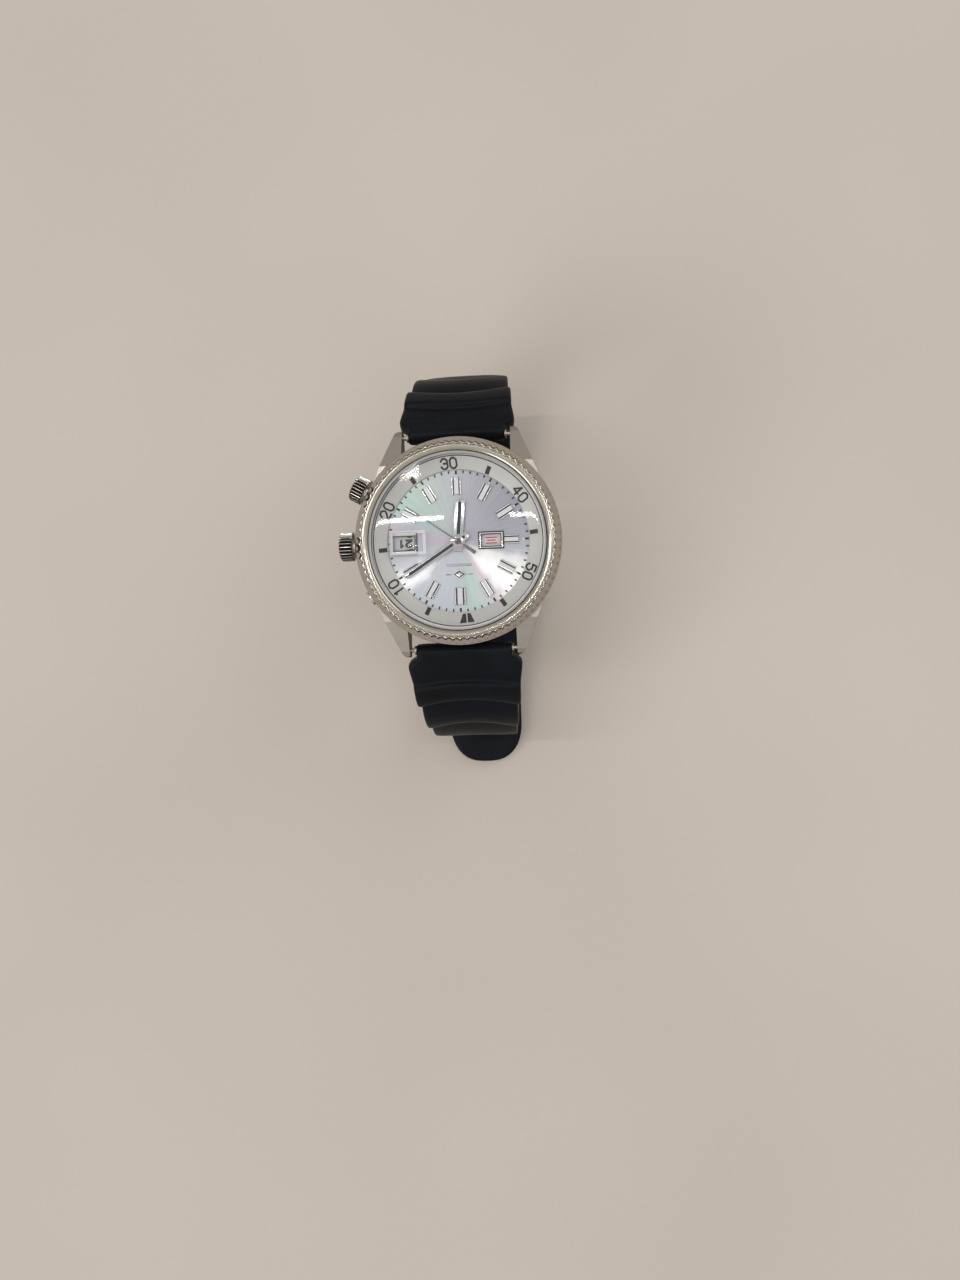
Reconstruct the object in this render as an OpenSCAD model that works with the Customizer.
// Diver's wristwatch with two crowns, an inner turning ring and a buckled rubber strap.
// The dial faces +Z, twelve o'clock lies towards +Y and three o'clock towards +X.
// The origin is the centre of the case back's outer face. All sizes are in millimetres.

/* [Case] */
// Distance between the inner faces of the lugs
lug_gap = 22; // [20:0.5:22]
// Distance over the lug tips, twelve to six
lug_span = 46.2; // [45.6:0.1:47]
// Diameter of the case band
band_d = 40.6; // [40:0.1:41]
// Height of the face that the bezel sits on
seat_z = 7.4; // [7.2:0.1:7.6]

/* [Bezel and crystal] */
// Diameter over the bezel's skirt
skirt_d = 41.5; // [41.2:0.1:42]
// Diameter over the crests of the coin edge
coin_d = 39.1; // [38.8:0.1:39.4]
// Number of flutes round the coin edge
flute_count = 84; // [60:1:100]
// Height of the bezel's top edge
bezel_top_z = 10; // [9.8:0.1:10.4]
// Height of the crystal's crown
crystal_top_z = 10.9; // [10.6:0.1:11.4]

/* [Dial and hands] */
// Angle of the minute hand, clockwise from twelve
minute_angle = 57.7; // [0:0.1:359]
// Angle of the hour hand, clockwise from twelve
hour_angle = 184.8; // [0:0.1:359]
// Angle of the seconds hand, clockwise from twelve
seconds_angle = 125.4; // [0:0.1:359]
// Length of the minute hand
minute_len = 12.9; // [11:0.1:13.2]
// Length of the hour hand
hour_len = 8.6; // [7:0.1:9.5]

/* [Controls] */
// Diameter of the main crown
crown_d = 6; // [5.4:0.1:6.4]
// Diameter of the crown that turns the inner ring
ring_crown_d = 5.6; // [5:0.1:6]
// Teeth round the inner ring
ring_teeth = 72; // [72:1:72]
// Teeth on the crown's pinion
pinion_teeth = 8; // [8:1:8]

/* [Strap] */
// Width of the strap just past the lug tips
shoulder_w = 23.6; // [23:0.1:24]
// Width of the strap at its tail
tail_w = 18.2; // [17:0.1:18.4]
// Reach of the buckled loop past the centre on the twelve side
bulge_twelve = 40.6; // [39:0.1:42]
// Reach of the buckled loop past the centre on the six side
bulge_six = 37; // [36:0.1:38]
// Height of the inner strap layer under the wrist
inner_z = -43.4; // [-45:0.1:-42]
// How far the tail reaches past the centre
tail_reach = 52.5; // [48:0.1:54]

/* [Hidden] */
$fn = 96;

// Shared small values: a cut's overshoot, a running fit and a loose fit
cut = 0.5;
running = 0.05;
loose = 0.1;

// Heights inside the case
base_z = 0.6;             // underside of the case middle
back_inner_z = 1;         // inner face of the case back
back_flange_z = 1.6;      // top of the case back's flange
back_thread_z = 2.1;      // top of the case back's threaded spigot
holder_z = 2.7;           // underside of the movement holder
lip_z = 5.5;              // underside of the lip that stops the movement
ring_floor_z = 6;         // shoulder that the inner ring turns on
dial_z = 6.2;             // underside of the dial
dial_top_z = 6.6;         // face of the dial
crown_z = 4.6;            // height of the crowns and the pusher
crystal_z = 8.8;          // underside of the crystal
crystal_edge_z = 9.6;     // top of the crystal's straight edge
crystal_chamfer_z = crystal_edge_z + 0.35;
crystal_chamfer_w = 0.6;
ring_top_z = 8.05;        // outer, higher end of the inner ring's slope
ring_slope_z = 7.05;      // inner, lower end of that slope
date_ring_z = 5.75;
date_ring_top_z = 6;
day_disc_z = 5.95;
day_disc_top_z = 6.1;

// Radii inside the case
band_r = band_d / 2;
skirt_r = skirt_d / 2;
coin_r = coin_d / 2;
bore_r = 15.6;            // bore for the movement holder
lip_r = 14.85;            // opening in the lip
recess_r = 17.35;         // recess for the inner ring
back_recess_r = 17.25;    // recess for the case back's flange
thread_r = 16.45;         // bore for the case back's thread
gasket_r = 17.12;         // step for the case back's gasket
crystal_r = 17.4;
bezel_bore_r = 17.75;     // the crystal and its gasket fit in here
dial_r = 14.7;
ring_inner_r = 14.3;
ring_edge_r = 16.95;      // outer end of the inner ring's slope
ring_outer_r = 17.3;
ring_rim_r = 16.9;        // inside of the ring's skirt
movement_r = 13.5;
holder_r = 15.5;

// Controls: the directions they leave the case in, and where each piece starts and ends
ring_crown_turn = -30;    // four o'clock
pusher_turn = 30;         // two o'clock
crown_in = 21.5;
crown_out = 24.3;
tube_in = 17.3;
tube_out = 22.9;
tube_r = 1.25;
stem_r = 0.55;
crown_pocket_r = 1.5;
crown_pocket_end = 23.15;
pusher_cap_r = 1.55;
pusher_out = 21.5;
pusher_cap_in = 19.9;
pusher_pocket_in = 18.4;
pusher_rod_r = 0.5;
pusher_bore_r = 0.88;     // bore for the rod's gasket
clip_room_r = 1.2;        // room for the clip at the bore's inner end
clip_room_end = 16.3;
pinion_room_end = 17;
bore_start = bore_r - 1;  // the control bores start inside the case's bore
stem_end_gap = 0.92;      // from a stem's end to the crown's end face

// The ring's crown-gear teeth and the pinion below them
ring_tooth_in = 15.85;
ring_tooth_out = 16.75;
ring_tooth_pitch = 2 * PI * (ring_tooth_in + ring_tooth_out) / 2 / ring_teeth;
pinion_pitch_r = ring_tooth_pitch * pinion_teeth / 2 / PI;
tooth_half = 0.35;        // half the depth of a ring tooth
ring_pitch_z = crown_z + pinion_pitch_r;
ring_root_z = ring_pitch_z + tooth_half;
pinion_tip_r = pinion_pitch_r + 0.28;
pinion_root_r = pinion_pitch_r - 0.43;
pinion_pocket_r = pinion_tip_r + 0.11;

// Dial furniture
index_z = 0.35;           // height of the applied indices
index_in = 9.3;
index_out = 12.7;
index_w = 1.9;
twelve_index_w = 2.3;
nine_index = [9.25, 12.1, 1.8];
emblem_y = 6.6;
emblem_half = [1.5, 1];
emblem_t = 0.2;
lens_in = 6.3;            // inner end of the date magnifier
lens_size = [7.3, 4.9, 0.5];
frame_z = 0.25;           // height of the applied window frames
date_x = 11;              // centre of the date window
date_window = [4.15, 3.7];
date_outer = [5.5, 4.7];
day_x = -6.6;             // centre of the day window
day_window = [3.9, 2.5];
day_outer = [5.1, 3.5];
hour_hand_z = 7.2;
minute_hand_z = 7.6;
seconds_hand_z = 8;
hand_t = 0.2;
hour_hand_w = 1.9;
minute_hand_w = 1.5;
seconds_hand_w = 0.26;
seconds_len = 12.6;
date_ring_out = 13.35;
date_ring_in = 8.95;
day_disc_out = 8.85;
day_disc_in = 1.1;
hour_tube_r = 0.85;

// Going train: places of the arbors and the gears' modules
third_turn = -20;
escape_turn = -120;
barrel_turn = 135;
barrel_module = 0.15;
centre_module = 0.12;
third_module = 0.34 / 3;
fourth_module = 0.105;
motion_module = 0.1;
hour_module = 0.096;
barrel_n = 72;
centre_pinion_n = 12;
centre_n = 60;
third_pinion_n = 8;
third_n = 64;
fourth_pinion_n = 8;
fourth_n = 70;
escape_pinion_n = 7;
cannon_n = 12;
minute_wheel_n = 36;
minute_pinion_n = 10;
hour_n = 40;
barrel_at = (barrel_n + centre_pinion_n) / 2 * barrel_module;
third_at = (centre_n + third_pinion_n) / 2 * centre_module;
escape_at = (fourth_n + escape_pinion_n) / 2 * fourth_module;
motion_at = (cannon_n + minute_wheel_n) / 2 * motion_module;
balance_pos = [-6, -6.6];
pallet_pos = [-3.4, -5.85];
cock_foot = [-10.2, -3];
pillars = [[3.2, 9.2], [8.2, -5.2], [-10.4, -0.6]];
bridge_z = 2.6;
bridge_top_z = 2.92;
plate_z = 4.3;            // underside of the main plate
plate_top_z = 5.6;
pillar_r = 0.8;
screw_r = 0.4;
jewel_r = 0.3;            // radius of the train's pivot holes
arbor_r = 0.25;
tube_inner_r = 0.3;
tube_outer_r = 0.5;
screw_hole_r = screw_r + 0.02;
arbor_z = bridge_top_z - 0.12;
arbor_top_z = plate_z + 0.3;
plate_flange_r = movement_r + 0.35;

// Heights of the wheels, each from its underside
fourth_wheel_z = 3.02;
fourth_pinion_z = 3.12;
third_wheel_z = 3.2;
third_pinion_z = 3.3;
centre_wheel_z = 3.42;
centre_pinion_z = 3.54;
barrel_z = 3.64;
barrel_top_z = 4.2;
escape_pinion_z = 2.98;
escape_wheel_z = 3.22;
pallet_z = 3.2;
balance_z = 3.5;
cannon_z = 5.66;
minute_pinion_z = 5.72;
hour_wheel_z = 5.77;
hour_wheel_top_z = 5.87;

// Strap: spring bars, the loop's arcs and the buckle
bar_y = 21.7;
bar_z = 2.6;
bar_r = 0.75;
bar_tip_r = 0.45;
lug_inner = lug_gap / 2;
lug_tip = lug_span / 2;
lug_root_y = 8;           // the lugs' outer faces run into the band here
head_w = lug_gap - 2.2;   // width of the strap between the lugs
head_r = 1.75;            // the strap's barrel round the spring bar
shoulder_y = 24.3;
start_twelve = 20;        // slope of the strap below level where it leaves the bar
start_six = 30;
near_t = 3.4;             // thickness at the head
bend_t = 2.9;             // thickness at the bulge
six_bend_w = 20.2;        // width of the six side at the bulge
end_t = 2.6;              // thickness of the inner layer
tail_t = 2.2;             // thickness of the tail
layer_gap = 0.6;
outer_z = inner_z - end_t / 2 - layer_gap - tail_t / 2;
bend_gap = 0.05;
arc_steps = 14;
buckle_y = 3;
buckle_bar_r = 0.9;
barrel_wall_r = 1.7;      // the strap's barrel round the buckle bar
tongue_ring_r = 1.6;
tongue_w = 2;
tongue_y = 1.8;           // where the tongue goes through the tail
hole_r = 1.35;
hole_pitch = 6;
hole_count = 7;
ramp_end = 0;             // the tail has reached the outer layer here
ramp_start = -9;
keeper_wall = 1;
keeper_len = 4;
fixed_keeper_y = 8.5;
floating_keeper_y = 14.6;
keeper_gap = 0.25;        // above and below the two strap layers
frame_bar_y = -7.2;       // front bar of the buckle
frame_arm_in = tail_w / 2 + 0.7;
frame_arm_t = 1.6;
floor_z = outer_z - tail_t / 2 - keeper_gap - keeper_wall;
frame_bar_z = floor_z + 0.95;
tongue_z = floor_z + 0.02;
tongue_tip_y = frame_bar_y - 1.9;
head_room_y = 19.5;       // the band is cut back from here outwards between the lugs
lug_hole_reach = 12.1;    // end of the blind holes for the spring bars
spring_tip_reach = 11.85;
far = 60;                 // longer than anything it cuts
deep = 20;

steel = "Silver";
rubber = [0.06, 0.06, 0.08];
gilt = [0.78, 0.68, 0.42];
seal = [0.1, 0.1, 0.1];

// ---------- small helpers ----------

// A ring with a square section
module ring(outer, inner, z0, z1) {
    translate([0, 0, z0])
        difference() {
            cylinder(r = outer, h = z1 - z0);
            translate([0, 0, -cut]) cylinder(r = inner, h = z1 - z0 + 2 * cut);
        }
}

// A cylinder from z0 to z1
module disc(r, z0, z1) {
    translate([0, 0, z0]) cylinder(r = r, h = z1 - z0);
}

// Lays a child that is drawn along +Z out along a direction in the crown plane
module outward(turn) {
    rotate([0, 0, turn]) translate([0, 0, crown_z]) rotate([0, 90, 0]) children();
}

// A cylinder from radius r0 to r1 of the case, in the direction turn
module radial(r, r0, r1, turn) {
    outward(turn) disc(r, r0, r1);
}

// Outline of a gear: n straight-sided teeth, with a tooth centred on the direction phase
function gear_outline(n, pitch_r, add, ded, phase) = [
    for (i = [0 : n - 1], s = [[-0.19, -ded], [-0.1, add], [0.1, add], [0.19, -ded]])
        let (a = phase + (i + s[0]) * 360 / n)
            [(pitch_r + s[1]) * cos(a), (pitch_r + s[1]) * sin(a)]];

module gear(n, mod, z0, z1, phase) {
    pitch_r = n * mod / 2;
    translate([0, 0, z0])
        linear_extrude(z1 - z0) polygon(gear_outline(n, pitch_r, mod * 0.8, mod * 1.1, phase));
}

// A thin wheel: toothed rim with crossings, on a hub
module train_wheel(n, mod, z0, z1, phase, hub_r) {
    pitch_r = n * mod / 2;
    rim_r = pitch_r * 0.82;
    spoke_w = pitch_r * 0.16;
    difference() {
        gear(n, mod, z0, z1, phase);
        disc(rim_r, z0 - cut, z1 + cut);
    }
    disc(hub_r, z0, z1);
    for (turn = [0, 60, 120])
        rotate([0, 0, turn])
            translate([-rim_r - mod / 2, -spoke_w / 2, z0])
                cube([2 * rim_r + mod, spoke_w, z1 - z0]);
}

// Knurled crown: a short cylinder with flutes, a bevelled outer end and a rounded rim
module knurled_crown(d, turn) {
    flutes = 36;
    r = d / 2;
    bevel = 0.35;
    outward(turn)
        difference() {
            rotate_extrude()
                polygon([[0, crown_in], [r - bevel, crown_in], [r, crown_in + bevel],
                    [r, crown_out - bevel], [r - bevel, crown_out], [r - 2 * bevel, crown_out],
                    [r - 2 * bevel - 0.15, crown_out - 0.12], [0, crown_out - 0.12]]);
            for (i = [0 : flutes - 1])
                rotate([0, 0, i * 360 / flutes])
                    translate([r + 0.08, 0, crown_in - cut])
                        cylinder(r = 0.22, h = crown_out - crown_in + 2 * cut, $fn = 16);
            disc(crown_pocket_r, crown_in - cut, crown_pocket_end);
            disc(stem_r, crown_in, crown_out - 0.9);
        }
}

// ---------- case ----------

// Plan of one lug: straight inner face, slanted outer face, small rounded tip
module lug_plan() {
    polygon([[lug_inner, lug_root_y], [18.5, lug_root_y], [12.75, lug_tip - 1.1], [12.45, lug_tip - 0.5],
        [11.9, lug_tip - 0.1], [11.5, lug_tip], [lug_inner, lug_tip]]);
}

// Side of one lug, drawn in Y and Z
module lug_side() {
    polygon([[lug_root_y - 0.5, base_z], [18, base_z], [lug_tip - 1.4, 1.05], [lug_tip - 0.3, 1.5],
        [lug_tip, 2.1], [lug_tip, 3.1], [lug_tip - 0.35, 3.75], [lug_tip - 1.2, 4.3],
        [15.6, seat_z - 0.25], [lug_root_y - 0.5, seat_z - 0.25]]);
}

module lug() {
    intersection() {
        linear_extrude(deep) lug_plan();
        translate([25, 0, 0]) rotate([90, 0, 90]) translate([0, 0, -25])
            linear_extrude(50) lug_side();
    }
}

// Section of the band, with the steps for the case back, the movement and the inner ring
module band_section() {
    polygon([[back_recess_r, base_z], [band_r - 1.6, base_z], [band_r - 0.5, 1.4], [band_r, 2.6],
        [band_r, seat_z - 0.7], [band_r - 0.3, seat_z], [recess_r, seat_z],
        [recess_r, ring_floor_z], [lip_r, ring_floor_z], [lip_r, lip_z], [bore_r, lip_z],
        [bore_r, back_thread_z + loose], [thread_r, back_thread_z + loose],
        [thread_r, back_flange_z + 0.3], [gasket_r, back_flange_z + 0.3],
        [gasket_r, back_flange_z], [back_recess_r, back_flange_z]]);
}

module case_middle() {
    color(steel)
        difference() {
            union() {
                rotate_extrude($fn = 180) band_section();
                for (mx = [0, 1], my = [0, 1])
                    mirror([mx, 0, 0]) mirror([0, my, 0])
                        difference() {
                            lug();
                            disc(band_r - 1.5, -cut, deep);
                        }
            }
            // The band is cut back between the lugs, which leaves room for the strap's head
            for (my = [0, 1]) mirror([0, my, 0])
                translate([-lug_inner, head_room_y, -cut]) cube([lug_gap, 10, seat_z + 2 * cut]);
            // Radial holes for the controls
            radial(tube_r, bore_start, crown_in, 0);
            radial(tube_r, bore_start, crown_in, ring_crown_turn);
            radial(pinion_pocket_r, bore_r - 0.4, pinion_room_end, ring_crown_turn);
            radial(pusher_bore_r, bore_start, pusher_out, pusher_turn);
            radial(clip_room_r, bore_start, clip_room_end, pusher_turn);
            radial(pusher_cap_r + running, pusher_pocket_in, pusher_out, pusher_turn);
            // Holes for the tips of the spring bars
            for (sy = [-1, 1])
                translate([-lug_hole_reach, sy * bar_y, bar_z]) rotate([0, 90, 0])
                    cylinder(r = bar_tip_r + running, h = 2 * lug_hole_reach);
        }
}

module bezel() {
    color(steel)
        difference() {
            rotate_extrude($fn = 180)
                polygon([[recess_r, seat_z], [skirt_r - 0.35, seat_z], [skirt_r, seat_z + 0.3],
                    [skirt_r - 0.25, seat_z + 0.75], [coin_r + 0.25, seat_z + 1.45],
                    [coin_r, bezel_top_z - 0.25], [coin_r - 0.2, bezel_top_z],
                    [coin_r - 0.45, bezel_top_z], [coin_r - 0.6, bezel_top_z - 0.15],
                    [bezel_bore_r + 0.05, crystal_edge_z - 0.2], [bezel_bore_r, crystal_edge_z - 0.3],
                    [bezel_bore_r, crystal_z], [recess_r - 0.35, crystal_z],
                    [recess_r - 0.35, crystal_z - 0.45], [recess_r, crystal_z - 0.45]]);
            for (i = [0 : flute_count - 1])
                rotate([0, 0, i * 360 / flute_count])
                    translate([coin_r + 0.42, 0, seat_z + 1.1]) rotate([0, -8, 0])
                        cylinder(r = 0.72, h = 4, $fn = 16);
        }
}

module crystal() {
    dome_rise = crystal_top_z - crystal_chamfer_z;
    dome_edge = crystal_r - crystal_chamfer_w;
    dome_r = (dome_edge * dome_edge + dome_rise * dome_rise) / 2 / dome_rise;
    color([0.8, 0.88, 0.92, 0.35])
        intersection() {
            rotate_extrude($fn = 180)
                polygon([[0, crystal_z], [crystal_r, crystal_z], [crystal_r, crystal_edge_z],
                    [dome_edge, crystal_chamfer_z], [dome_edge, crystal_top_z + cut],
                    [0, crystal_top_z + cut]]);
            translate([0, 0, crystal_top_z - dome_r]) sphere(r = dome_r, $fn = 180);
        }
}

module crystal_gasket() {
    color([0.15, 0.15, 0.17])
        ring(bezel_bore_r - 0.02, crystal_r + 0.02, crystal_z, crystal_edge_z - 0.35);
}

module date_magnifier() {
    lens_r = 16;
    color([0.85, 0.9, 0.95, 0.4])
        intersection() {
            translate([lens_in, -lens_size[1] / 2, crystal_z - lens_size[2]]) cube(lens_size);
            translate([lens_in + lens_size[0] / 2, 0, crystal_z + 0.02 - lens_size[2] + lens_r])
                sphere(r = lens_r, $fn = 360);
        }
}

module turning_ring() {
    tooth_w = [0.32, 0.5];
    color([0.75, 0.75, 0.76]) {
        rotate_extrude($fn = 180)
            polygon([[ring_inner_r, ring_root_z], [ring_rim_r, ring_root_z],
                [ring_rim_r, ring_floor_z + running], [ring_outer_r, ring_floor_z + running],
                [ring_outer_r, ring_top_z], [ring_edge_r, ring_top_z],
                [ring_inner_r, ring_slope_z]]);
        for (i = [0 : ring_teeth - 1])
            rotate([0, 0, ring_crown_turn + (i + 0.5) * 360 / ring_teeth])
                translate([ring_tooth_in, 0, ring_root_z]) rotate([90, 0, 90])
                    linear_extrude(ring_tooth_out - ring_tooth_in)
                        polygon([[-tooth_w[1] / 2, 0.05], [-tooth_w[0] / 2, -2 * tooth_half],
                            [tooth_w[0] / 2, -2 * tooth_half], [tooth_w[1] / 2, 0.05]]);
    }
}

// ---------- dial, indices and hands ----------

module dial() {
    color([0.8, 0.8, 0.86])
        difference() {
            disc(dial_r, dial_z, dial_top_z);
            disc(0.95, dial_z - cut, dial_top_z + cut);
            translate([date_x - date_window[0] / 2, -date_window[1] / 2, dial_z - cut])
                cube([date_window[0], date_window[1], 2]);
            translate([day_x - day_window[0] / 2, -day_window[1] / 2, dial_z - cut])
                cube([day_window[0], day_window[1], 2]);
        }
}

// One applied index: a bar with bevelled long edges, lying along X from x0 to x1
module index(x0, x1, w) {
    bevel = 0.15;
    translate([x0, 0, dial_top_z]) rotate([90, 0, 90])
        linear_extrude(x1 - x0)
            polygon([[-w / 2, 0], [w / 2, 0], [w / 2, index_z - bevel], [w / 2 - bevel, index_z],
                [bevel - w / 2, index_z], [-w / 2, index_z - bevel]]);
}

module hour_indices() {
    color(steel) {
        for (hour = [1, 2, 4, 5, 6, 7, 8, 10, 11, 12])
            rotate([0, 0, 90 - hour * 30])
                index(index_in, index_out, hour == 12 ? twelve_index_w : index_w);
        rotate([0, 0, 180]) index(nine_index[0], nine_index[1], nine_index[2]);
    }
}

module dial_emblem() {
    color(steel)
        translate([0, emblem_y, dial_top_z]) linear_extrude(emblem_t)
            polygon([[-emblem_half[0], 0], [0, -emblem_half[1]],
                [emblem_half[0], 0], [0, emblem_half[1]]]);
}

module window_frame(x, outer, inner) {
    translate([x, 0, dial_top_z])
        difference() {
            translate([-outer[0] / 2, -outer[1] / 2, 0]) cube([outer[0], outer[1], frame_z]);
            translate([-inner[0] / 2, -inner[1] / 2, -cut]) cube([inner[0], inner[1], 2]);
        }
}

module day_frame() {
    color(steel) window_frame(day_x, day_outer, day_window);
}

module date_frame() {
    color(steel) window_frame(date_x, date_outer, date_window);
}

// A baton hand on a boss, pointing clockwise from twelve by angle
module baton(angle, z, width, length, tail, boss_r, bore) {
    rotate([0, 0, 90 - angle])
        translate([0, 0, z])
            difference() {
                union() {
                    linear_extrude(hand_t)
                        polygon([[-tail, -width / 2], [length - width * 0.4, -width / 2],
                            [length, 0], [length - width * 0.4, width / 2], [-tail, width / 2]]);
                    cylinder(r = boss_r, h = hand_t);
                }
                translate([0, 0, -cut]) cylinder(r = bore, h = 2);
            }
}

module hour_hand() {
    color(steel) baton(hour_angle, hour_hand_z, hour_hand_w, hour_len, 2, 1.6, hour_tube_r);
}

module minute_hand() {
    color(steel)
        baton(minute_angle, minute_hand_z, minute_hand_w, minute_len, 2.3, 1.2, tube_outer_r);
}

module seconds_hand() {
    tail_half = 0.35;
    color(steel) {
        baton(seconds_angle, seconds_hand_z, seconds_hand_w, seconds_len, 3, 0.65, arbor_r);
        rotate([0, 0, 90 - seconds_angle])
            translate([-4.3, -tail_half, seconds_hand_z]) cube([2.4, 2 * tail_half, hand_t]);
    }
}

module date_ring() {
    color("White") ring(date_ring_out, date_ring_in, date_ring_z, date_ring_top_z);
}

module day_disc() {
    color("White") ring(day_disc_out, day_disc_in, day_disc_z, day_disc_top_z);
}

// ---------- movement ----------

module main_plate() {
    stem_end = 7.9;
    color(gilt)
        difference() {
            union() {
                disc(movement_r, plate_z, plate_top_z);
                disc(plate_flange_r, plate_top_z - 0.3, plate_top_z);
                ring(movement_r + 0.3, movement_r - 0.05, plate_top_z - 0.1, dial_z);
                intersection() {
                    translate([8.6, -2.2, 3.3]) cube([6, 4.4, 1.2]);
                    disc(movement_r, 3, plate_z + 0.1);
                }
            }
            disc(tube_outer_r + running, plate_z - cut, plate_top_z + cut);
            radial(stem_r + running, stem_end, 15, 0);
            for (p = concat(pillars, [cock_foot]))
                translate([p[0], p[1], 0]) disc(screw_hole_r, plate_z - cut, plate_top_z - 0.3);
            // Pivot holes for the train, the pallet fork and the balance
            for (p = [barrel_pos(), third_pos(), escape_pos(), pallet_pos, balance_pos])
                translate([p[0], p[1], 0]) disc(jewel_r, plate_z - cut, plate_z + 0.4);
        }
}

function barrel_pos() = barrel_at * [cos(barrel_turn), sin(barrel_turn)];
function third_pos() = third_at * [cos(third_turn), sin(third_turn)];
function escape_pos() = escape_at * [cos(escape_turn), sin(escape_turn)];

module movement_holder() {
    stem_room_r = 0.8;
    pusher_room_r = 1.3;
    hole_in = 12;
    color([0.85, 0.85, 0.8])
        difference() {
            ring(holder_r, movement_r + running, holder_z, lip_z);
            disc(plate_flange_r + running, plate_top_z - 0.35, lip_z + cut);
            radial(stem_room_r, hole_in, pinion_room_end, 0);
            radial(pusher_room_r, hole_in, pinion_room_end, pusher_turn);
        }
}

// Plan of the balance cock: two round ends joined by a straight arm
module cock_plan(grow) {
    reach = cock_foot - balance_pos;
    translate(balance_pos) circle(r = 1.5 + grow);
    translate(cock_foot) circle(r = 1.3 + grow);
    translate(balance_pos) rotate(atan2(reach[1], reach[0]))
        translate([0, -1 - grow]) square([norm(reach), 2 + 2 * grow]);
}

module train_bridge() {
    color(gilt)
        difference() {
            union() {
                translate([0, 0, bridge_z]) linear_extrude(bridge_top_z - bridge_z)
                    difference() {
                        circle(r = movement_r - 0.1);
                        translate(balance_pos) circle(r = 4.5);
                        cock_plan(0.3);
                    }
                for (p = pillars) translate([p[0], p[1], 0]) disc(pillar_r, bridge_z, plate_z);
            }
            for (p = pillars) translate([p[0], p[1], 0]) disc(screw_hole_r, bridge_z - cut, 5);
            for (p = [[0, 0], barrel_pos(), third_pos(), escape_pos()])
                translate([p[0], p[1], 0]) disc(jewel_r, bridge_z + 0.12, bridge_top_z + cut);
        }
}

module bridge_screws() {
    color(steel)
        for (p = concat(pillars, [cock_foot]))
            translate([p[0], p[1], 0])
                difference() {
                    union() {
                        disc(0.75, bridge_z - 0.28, bridge_z);
                        disc(screw_r, bridge_z - 0.1, plate_top_z - 0.5);
                    }
                    translate([-1, -0.1, bridge_z - 0.5]) cube([2, 0.2, 0.35]);
                }
}

// The barrel's own teeth mesh with the centre pinion
module barrel() {
    color(gilt) translate([barrel_pos()[0], barrel_pos()[1], 0]) {
        gear(barrel_n, barrel_module, barrel_z, barrel_top_z, barrel_turn + 180);
        disc(arbor_r, arbor_z, arbor_top_z);
    }
}

module centre_wheel() {
    color(gilt)
        difference() {
            union() {
                train_wheel(centre_n, centre_module, centre_wheel_z, centre_pinion_z, third_turn, 0.9);
                gear(centre_pinion_n, barrel_module, centre_pinion_z, barrel_top_z,
                    barrel_turn + 180 / centre_pinion_n);
                disc(tube_outer_r, centre_wheel_z, minute_hand_z + hand_t + 0.05);
                gear(cannon_n, motion_module, cannon_z, minute_pinion_z, -90);
            }
            disc(tube_inner_r, 3, 9);
        }
}

module third_wheel() {
    back = third_turn + 180;
    color(gilt) translate([third_pos()[0], third_pos()[1], 0]) {
        train_wheel(third_n, third_module, third_wheel_z, third_pinion_z, back, 0.6);
        gear(third_pinion_n, centre_module, third_pinion_z, 3.62, back + 180 / third_pinion_n);
        disc(arbor_r, arbor_z, arbor_top_z);
    }
}

module seconds_arbor() {
    color(steel) {
        train_wheel(fourth_n, fourth_module, fourth_wheel_z, fourth_pinion_z, escape_turn, 0.5);
        gear(fourth_pinion_n, third_module, fourth_pinion_z, 3.36,
            third_turn + 180 / fourth_pinion_n);
        disc(arbor_r, arbor_z, seconds_hand_z + hand_t + 0.06);
    }
}

module escape_wheel() {
    back = escape_turn + 180;
    teeth = 15;
    color(steel) translate([escape_pos()[0], escape_pos()[1], 0]) {
        gear(escape_pinion_n, fourth_module, escape_pinion_z, escape_wheel_z,
            back + 180 / escape_pinion_n);
        disc(arbor_r - 0.05, arbor_z, arbor_top_z);
        translate([0, 0, escape_wheel_z]) linear_extrude(0.1)
            polygon([for (i = [0 : teeth - 1], s = [[0, 1.6], [0.15, 2.2], [0.3, 2.2], [0.5, 1.6]])
                s[1] * [cos((i + s[0]) * 360 / teeth), sin((i + s[0]) * 360 / teeth)]]);
    }
}

module pallet_fork() {
    to_balance = balance_pos - pallet_pos;
    turn = atan2(to_balance[1], to_balance[0]);
    color(steel) translate([pallet_pos[0], pallet_pos[1], 0]) {
        disc(0.2, bridge_top_z + 0.05, arbor_top_z);
        translate([0, 0, pallet_z]) linear_extrude(0.12) {
            circle(r = 0.45, $fn = 48);
            rotate(turn) translate([0, -0.15]) square([1.9, 0.3]);
            rotate(turn) translate([1.6, -0.45]) square([0.3, 0.9]);
            rotate(60) translate([-0.2, -1.1]) square([0.4, 2.2]);
        }
    }
}

module balance_wheel() {
    rim_r = 4;
    rim_w = 0.5;
    arm_reach = 3.6;
    color(gilt) translate([balance_pos[0], balance_pos[1], 0]) {
        ring(rim_r, rim_r - rim_w, balance_z, balance_z + 0.25);
        translate([-arm_reach, -rim_w / 2, balance_z]) cube([2 * arm_reach, rim_w, 0.2]);
        disc(0.6, balance_z - 0.05, balance_z + 0.3);
        disc(0.22, arbor_z, arbor_top_z);
    }
}

module balance_cock() {
    color(gilt)
        difference() {
            union() {
                translate([0, 0, bridge_z]) linear_extrude(bridge_top_z - bridge_z) cock_plan(0);
                translate([cock_foot[0], cock_foot[1], 0]) disc(pillar_r, bridge_z, plate_z);
            }
            translate([cock_foot[0], cock_foot[1], 0]) disc(screw_hole_r, bridge_z - cut, 5);
            translate([balance_pos[0], balance_pos[1], 0])
                disc(jewel_r, bridge_z + 0.12, bridge_top_z + cut);
        }
}

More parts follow.
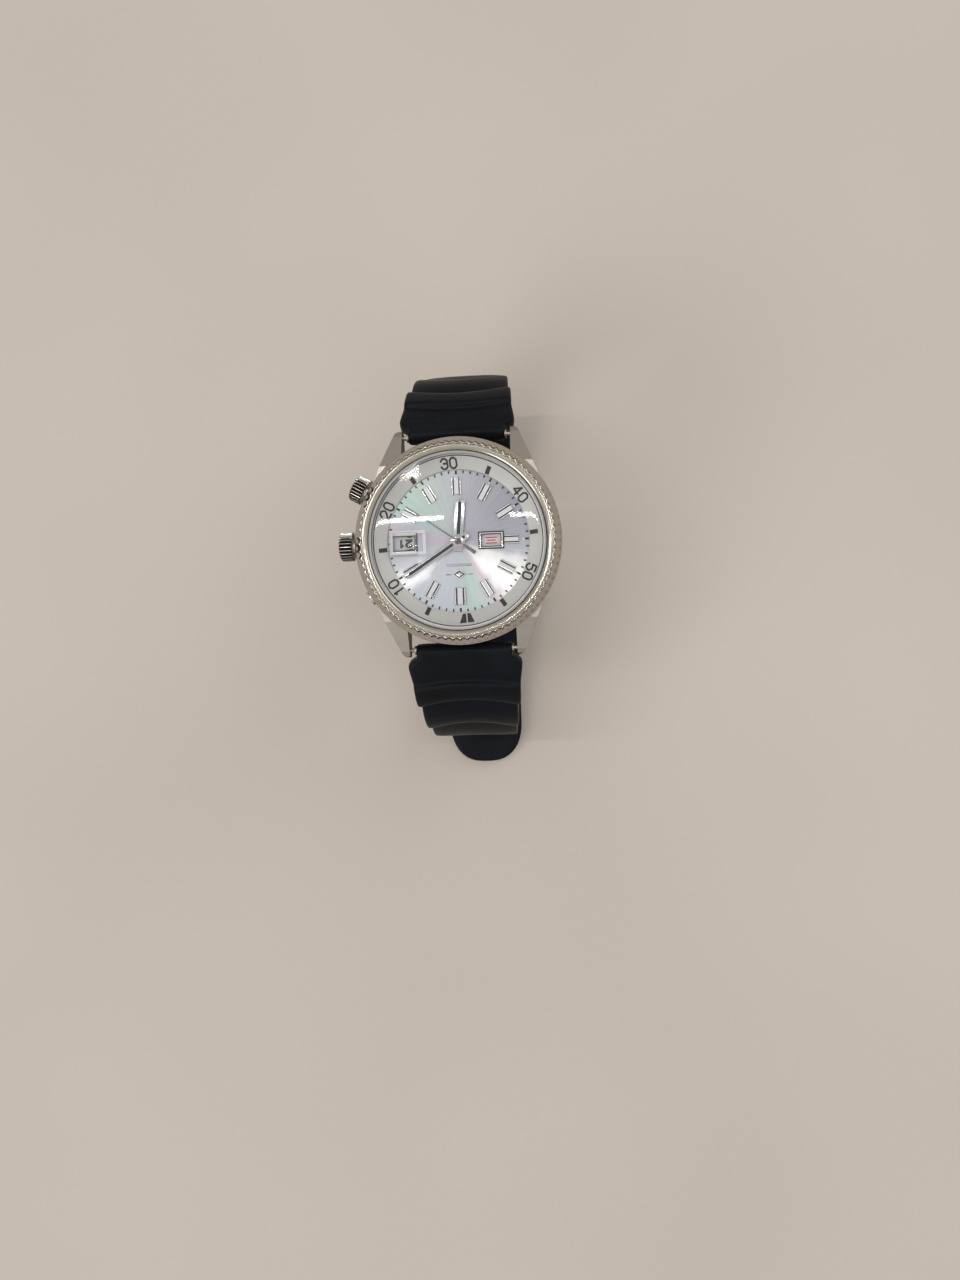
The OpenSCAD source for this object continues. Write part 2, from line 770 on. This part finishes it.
module minute_wheel() {
    color(gilt) translate([0, -motion_at, 0])
        difference() {
            union() {
                gear(minute_wheel_n, motion_module, cannon_z, minute_pinion_z,
                    90 + 180 / minute_wheel_n);
                gear(minute_pinion_n, hour_module, minute_pinion_z, 5.88,
                    90 + 180 / minute_pinion_n);
            }
            disc(0.2, 5, 6);
        }
}

module hour_wheel() {
    color(gilt)
        difference() {
            union() {
                gear(hour_n, hour_module, hour_wheel_z, hour_wheel_top_z, -90);
                disc(hour_tube_r, hour_wheel_z, hour_hand_z + hand_t + 0.04);
            }
            disc(tube_outer_r + running, 5, 9);
        }
}

module rotor() {
    rim_z = 1.3;
    rim_in = 11.3;
    rotor_r = 13.2;
    color(steel)
        difference() {
            union() {
                intersection() {
                    union() {
                        disc(rotor_r, rim_z, rim_z + 0.35);
                        ring(rotor_r, rim_in, rim_z, rim_z + 0.95);
                    }
                    translate([-20, -20, 0]) cube([40, 20, 5]);
                }
                disc(1.9, rim_z + 0.15, 2.3);
            }
            disc(0.85, 0, 3);
            for (turn = [-135, -45])
                rotate([0, 0, turn]) translate([6.6, 0, 0]) cylinder(r = 2.6, h = 5);
        }
}

module rotor_bearing() {
    color(steel)
        difference() {
            union() {
                disc(1.3, 2.35, bridge_z);
                disc(0.8, 1.2, 2.4);
                disc(1.25, 1.08, 1.25);
            }
            translate([-2, -0.15, 0.9]) cube([4, 0.3, 0.26]);
        }
}

// ---------- controls ----------

module winding_stem() {
    color(steel) radial(stem_r, 8, crown_out - stem_end_gap, 0);
}

module crown() {
    color(steel) knurled_crown(crown_d, 0);
}

module tube_gasket(turn) {
    outward(turn) ring(crown_pocket_r - 0.02, tube_r + 0.02, 21.6, 21.95);
}

module control_tube(turn, bore) {
    outward(turn) ring(tube_r - 0.01, bore, tube_in, tube_out);
}

module crown_gasket() {
    color(seal) tube_gasket(0);
}

module crown_tube() {
    color(steel) control_tube(0, stem_r + running);
}

module ring_crown() {
    color(steel) knurled_crown(ring_crown_d, ring_crown_turn);
}

module ring_crown_stem() {
    color(steel) {
        outward(ring_crown_turn)
            translate([0, 0, ring_tooth_in])
                linear_extrude(ring_tooth_out - ring_tooth_in)
                    polygon(gear_outline(pinion_teeth, pinion_pitch_r,
                        pinion_tip_r - pinion_pitch_r, pinion_pitch_r - pinion_root_r, 180));
        radial(stem_r, ring_tooth_in, crown_out - stem_end_gap, ring_crown_turn);
    }
}

module ring_crown_gasket() {
    color(seal) tube_gasket(ring_crown_turn);
}

module ring_crown_tube() {
    color(steel) control_tube(ring_crown_turn, stem_r + running);
}

module pusher() {
    ribs = 5;
    color(steel)
        difference() {
            outward(pusher_turn) {
                disc(pusher_cap_r, pusher_cap_in, pusher_out);
                disc(pusher_rod_r, 14.7, pusher_cap_in + 0.1);
            }
            outward(pusher_turn)
                for (i = [0 : ribs - 1])
                    translate([-2, (i - (ribs - 1) / 2) * 0.56 - 0.1, pusher_out - 0.25])
                        cube([4, 0.2, 1]);
        }
}

// A flat wire spring drawn as four coils joined by short links
module pusher_spring() {
    coils = 4;
    pitch = 0.4;
    wire = 0.12;
    first = pusher_pocket_in + wire + 0.02;
    coil_r = 1.2;
    color(steel) outward(pusher_turn) {
        for (i = [0 : coils - 1])
            translate([0, 0, first + i * pitch])
                rotate_extrude() translate([coil_r, 0]) circle(r = wire, $fn = 24);
        for (i = [0 : coils - 2])
            rotate([0, 0, i * 180]) translate([coil_r, 0, first + i * pitch])
                cylinder(r = wire * 0.8, h = pitch, $fn = 24);
    }
}

module pusher_gasket() {
    color(seal) outward(pusher_turn) ring(0.86, pusher_rod_r + 0.02, 17.4, 17.9);
}

module pusher_clip() {
    color(steel) outward(pusher_turn) ring(1.05, pusher_rod_r + 0.01, 15.9, 16.1);
}

// ---------- case back ----------

module case_back() {
    notches = 6;
    color(steel)
        difference() {
            rotate_extrude($fn = 180)
                polygon([[0, 0], [16.2, 0], [17.2, 0.55], [17.2, back_flange_z],
                    [16.4, back_flange_z], [16.4, back_thread_z], [15.4, back_thread_z],
                    [15.4, back_inner_z], [0, back_inner_z]]);
            for (i = [0 : notches - 1])
                rotate([0, 0, i * 360 / notches])
                    translate([15, -1.1, -cut]) cube([3, 2.2, cut + 0.5]);
        }
}

module case_back_gasket() {
    color(seal) ring(gasket_r - 0.02, 16.5, back_flange_z, back_flange_z + 0.27);
}

module spring_bar(side) {
    body = head_w / 2 + 0.3;
    translate([0, side * bar_y, bar_z]) rotate([0, 90, 0]) {
        disc(bar_tip_r, -spring_tip_reach, spring_tip_reach);
        disc(bar_r, -body, body);
        for (s = [-1, 1]) translate([0, 0, s * (body - 0.15)]) disc(bar_r + 0.15, -0.15, 0.15);
    }
}

module spring_bar_twelve() {
    color(steel) spring_bar(1);
}

module spring_bar_six() {
    color(steel) spring_bar(-1);
}

// ---------- strap ----------
// Each half of the loop is drawn in U and Z, where U is the distance from the centre.
// It leaves the spring bar, curves down to the bulge and curves back under the wrist.

function upper_r(start, bulge) = (bulge - bar_y) / (1 - sin(start));
function bulge_z(start, bulge) = bar_z - upper_r(start, bulge) * cos(start);
function on_arc(centre, r, h) = centre + r * [sin(h), cos(h)];
function arc_points(centre, r0, r1, h0, h1) = [
    for (i = [0 : arc_steps])
        let (k = i / arc_steps) on_arc(centre, r0 + (r1 - r0) * k, h0 + (h1 - h0) * k)];
function backwards(list) = [for (i = [len(list) - 1 : -1 : 0]) list[i]];

// Stretch from the spring bar to the bulge
module upper_side(start, bulge, t1) {
    r = upper_r(start, bulge);
    centre = [bar_y - r * sin(start), bar_z - r * cos(start)];
    lift = [0, bend_gap];
    polygon(concat(
        [for (p = arc_points(centre, r + near_t / 2, r + t1 / 2, start, 90)) p + lift],
        backwards([for (p = arc_points(centre, r - near_t / 2, r - t1 / 2, start, 90)) p + lift])));
}

// Stretch from the bulge to the flat part at height flat_z
module lower_side(start, bulge, flat_z, t0, t1) {
    top = bulge_z(start, bulge);
    r = top - flat_z;
    centre = [bulge - r, top];
    polygon(concat(arc_points(centre, r + t0 / 2, r + t1 / 2, 90, 180),
        backwards(arc_points(centre, r - t0 / 2, r - t1 / 2, 90, 180))));
}

// Turns a drawing in U and Z into a solid of the given width, on one side of the watch
module across(side, width) {
    mirror([0, side < 0 ? 1 : 0, 0])
        translate([-width / 2, 0, 0]) rotate([90, 0, 90]) linear_extrude(width) children();
}

// Plan of a strap half from its head to the bulge, tapering to width w
module head_plan(bulge, w) {
    polygon([[-head_w / 2, 15], [head_w / 2, 15], [head_w / 2, shoulder_y - 1],
        [head_w / 2 + 0.9, shoulder_y - 0.2], [shoulder_w / 2, shoulder_y + 0.8],
        [shoulder_w / 2, shoulder_y + 1.6], [w / 2, bulge], [w / 2, bulge + 5],
        [-w / 2, bulge + 5], [-w / 2, bulge], [-shoulder_w / 2, shoulder_y + 1.6],
        [-shoulder_w / 2, shoulder_y + 0.8], [-head_w / 2 - 0.9, shoulder_y - 0.2],
        [-head_w / 2, shoulder_y - 1]]);
}

module strap_head(side, start, bulge, w, t1) {
    mirror([0, side < 0 ? 1 : 0, 0])
        difference() {
            union() {
                intersection() {
                    across(1, shoulder_w + 1) upper_side(start, bulge, t1);
                    translate([0, 0, -far]) linear_extrude(far + deep) head_plan(bulge, w);
                }
                translate([0, bar_y, bar_z]) rotate([0, 90, 0])
                    disc(head_r, -head_w / 2, head_w / 2);
            }
            translate([0, bar_y, bar_z]) rotate([0, 90, 0])
                disc(bar_r + running, -head_w, head_w);
            // Clearance for the flanges of the spring bar
            for (s = [-1, 1]) translate([s * (head_w / 2 + 0.3), bar_y, bar_z])
                rotate([0, 90, 0]) disc(bar_r + 0.3, -0.5, 0.5);
        }
}

module strap_twelve() {
    color(rubber) strap_head(1, start_twelve, bulge_twelve, tail_w, bend_t);
}

module strap_six() {
    color(rubber) strap_head(-1, start_six, bulge_six, six_bend_w, bend_t);
}

module strap_twelve_end() {
    flat_u = bulge_twelve - (bulge_z(start_twelve, bulge_twelve) - inner_z);
    color(rubber)
        difference() {
            union() {
                across(1, tail_w)
                    lower_side(start_twelve, bulge_twelve, inner_z, bend_t, end_t);
                translate([-tail_w / 2, buckle_y, inner_z - end_t / 2])
                    cube([tail_w, flat_u - buckle_y + 0.01, end_t]);
                translate([0, buckle_y, inner_z]) rotate([0, 90, 0])
                    disc(barrel_wall_r, -tail_w / 2, tail_w / 2);
            }
            translate([0, buckle_y, inner_z]) rotate([0, 90, 0])
                disc(buckle_bar_r + running, -tail_w, tail_w);
            translate([-tongue_w / 2 - 0.4, buckle_y - 3, inner_z - 3])
                cube([tongue_w + 0.8, 5, 6]);
        }
}

// Side view of the tail: the lower curve of the six side, then the ramp up to the outer layer
module tail_side() {
    flat_u = bulge_six - (bulge_z(start_six, bulge_six) - inner_z);
    h = tail_t / 2;
    centre = [flat_u, bulge_z(start_six, bulge_six)];
    r = bulge_six - flat_u;
    polygon(concat(arc_points(centre, r + bend_t / 2, r + h, 90, 180),
        [[-ramp_start, inner_z - h], [-ramp_end, outer_z - h], [-tail_reach, outer_z - h],
            [-tail_reach, outer_z + h], [-ramp_end, outer_z + h], [-ramp_start, inner_z + h]],
        backwards(arc_points(centre, r - bend_t / 2, r - h, 90, 180))));
}

module strap_six_tail() {
    top = bulge_z(start_six, bulge_six);
    tip_r = 7;
    end_r = 10.2;
    color(rubber)
        difference() {
            intersection() {
                across(-1, 22) tail_side();
                // Taper from the bulge down to the tail's width
                rotate([90, 0, 0]) translate([0, 0, -far]) linear_extrude(2 * far)
                    polygon([[-six_bend_w / 2, top], [six_bend_w / 2, top], [tail_w / 2, inner_z + 2],
                        [tail_w / 2, -far], [-tail_w / 2, -far], [-tail_w / 2, inner_z + 2]]);
                // Rounded tip
                translate([0, 0, -far]) linear_extrude(far) {
                    translate([-12, -far]) square([24, far + tail_reach - tip_r]);
                    intersection() {
                        translate([0, tail_reach - end_r]) circle(r = end_r);
                        translate([-tail_w / 2, tail_reach - tip_r - 1]) square([tail_w, 9]);
                    }
                }
            }
            for (i = [0 : hole_count - 1])
                translate([0, tongue_y + i * hole_pitch, 0]) disc(hole_r, -far, -far / 2);
        }
}

// ---------- buckle and keepers ----------

module buckle_bar() {
    color(steel) translate([0, buckle_y, inner_z]) rotate([0, 90, 0])
        disc(buckle_bar_r, -frame_arm_in - frame_arm_t + 0.1, frame_arm_in + frame_arm_t - 0.1);
}

// Side view of a buckle arm: two round ends joined by a tapering web
module arm_side() {
    a = [buckle_y, inner_z];
    b = [frame_bar_y, frame_bar_z + 0.9];
    reach = b - a;
    r0 = 1.6;
    r1 = 0.9;
    turn = atan2(reach[1], reach[0]);
    lean = acos((r0 - r1) / norm(reach));
    translate(a) circle(r = r0);
    translate(b) circle(r = r1);
    translate(a) rotate(turn)
        polygon([r0 * [cos(lean), sin(lean)], [norm(reach), 0] + r1 * [cos(lean), sin(lean)],
            [norm(reach), 0] + r1 * [cos(lean), -sin(lean)], r0 * [cos(lean), -sin(lean)]]);
}

module buckle_frame() {
    color(steel)
        difference() {
            union() {
                for (s = [-1, 1])
                    translate([s * (frame_arm_in + frame_arm_t / 2) - frame_arm_t / 2, 0, 0])
                        rotate([90, 0, 90]) linear_extrude(frame_arm_t) arm_side();
                translate([-frame_arm_in - 0.5, frame_bar_y - 0.9, frame_bar_z])
                    cube([2 * frame_arm_in + 1, 1.8, 1.6]);
            }
            translate([0, buckle_y, inner_z]) rotate([0, 90, 0])
                disc(buckle_bar_r, -frame_arm_in - 3, frame_arm_in + 3);
        }
}

module buckle_tongue() {
    blade_t = 0.88;
    post_half = 0.6;
    color(steel)
        difference() {
            union() {
                translate([0, buckle_y, inner_z]) rotate([0, 90, 0])
                    disc(tongue_ring_r, -tongue_w / 2, tongue_w / 2);
                translate([-tongue_w / 2, tongue_y - post_half, tongue_z])
                    cube([tongue_w, 2 * post_half, inner_z - 0.9 - floor_z]);
                translate([0, 0, tongue_z]) linear_extrude(blade_t)
                    polygon([[-tongue_w / 2, tongue_y + post_half],
                        [tongue_w / 2, tongue_y + post_half],
                        [tongue_w / 2, tongue_tip_y + 0.8], [0.4, tongue_tip_y],
                        [-0.4, tongue_tip_y], [-tongue_w / 2, tongue_tip_y + 0.8]]);
            }
            translate([0, buckle_y, inner_z]) rotate([0, 90, 0])
                disc(buckle_bar_r + running, -3, 3);
        }
}

// A loop that holds both strap layers together
module keeper(y) {
    inner_half = tail_w / 2 + 0.3;
    top = inner_z + end_t / 2 + keeper_gap;
    h = top - floor_z - keeper_wall;
    translate([0, y, floor_z])
        difference() {
            translate([-inner_half - keeper_wall, 0, 0])
                cube([2 * (inner_half + keeper_wall), keeper_len, h + 2 * keeper_wall]);
            translate([-inner_half, -cut, keeper_wall])
                cube([2 * inner_half, keeper_len + 2 * cut, h]);
        }
}

module fixed_keeper() {
    color(rubber) keeper(fixed_keeper_y);
}

module floating_keeper() {
    color(rubber) keeper(floating_keeper_y);
}

case_middle();
bezel();
crystal();
crystal_gasket();
date_magnifier();
turning_ring();
dial();
hour_indices();
dial_emblem();
day_frame();
date_frame();
hour_hand();
minute_hand();
seconds_hand();
date_ring();
day_disc();
main_plate();
movement_holder();
train_bridge();
bridge_screws();
barrel();
centre_wheel();
third_wheel();
seconds_arbor();
escape_wheel();
pallet_fork();
balance_wheel();
balance_cock();
minute_wheel();
hour_wheel();
rotor();
rotor_bearing();
winding_stem();
crown();
crown_gasket();
crown_tube();
ring_crown();
ring_crown_stem();
ring_crown_gasket();
ring_crown_tube();
pusher();
pusher_spring();
pusher_gasket();
pusher_clip();
case_back();
case_back_gasket();
spring_bar_twelve();
spring_bar_six();
strap_twelve();
strap_twelve_end();
strap_six();
strap_six_tail();
buckle_frame();
buckle_bar();
buckle_tongue();
fixed_keeper();
floating_keeper();
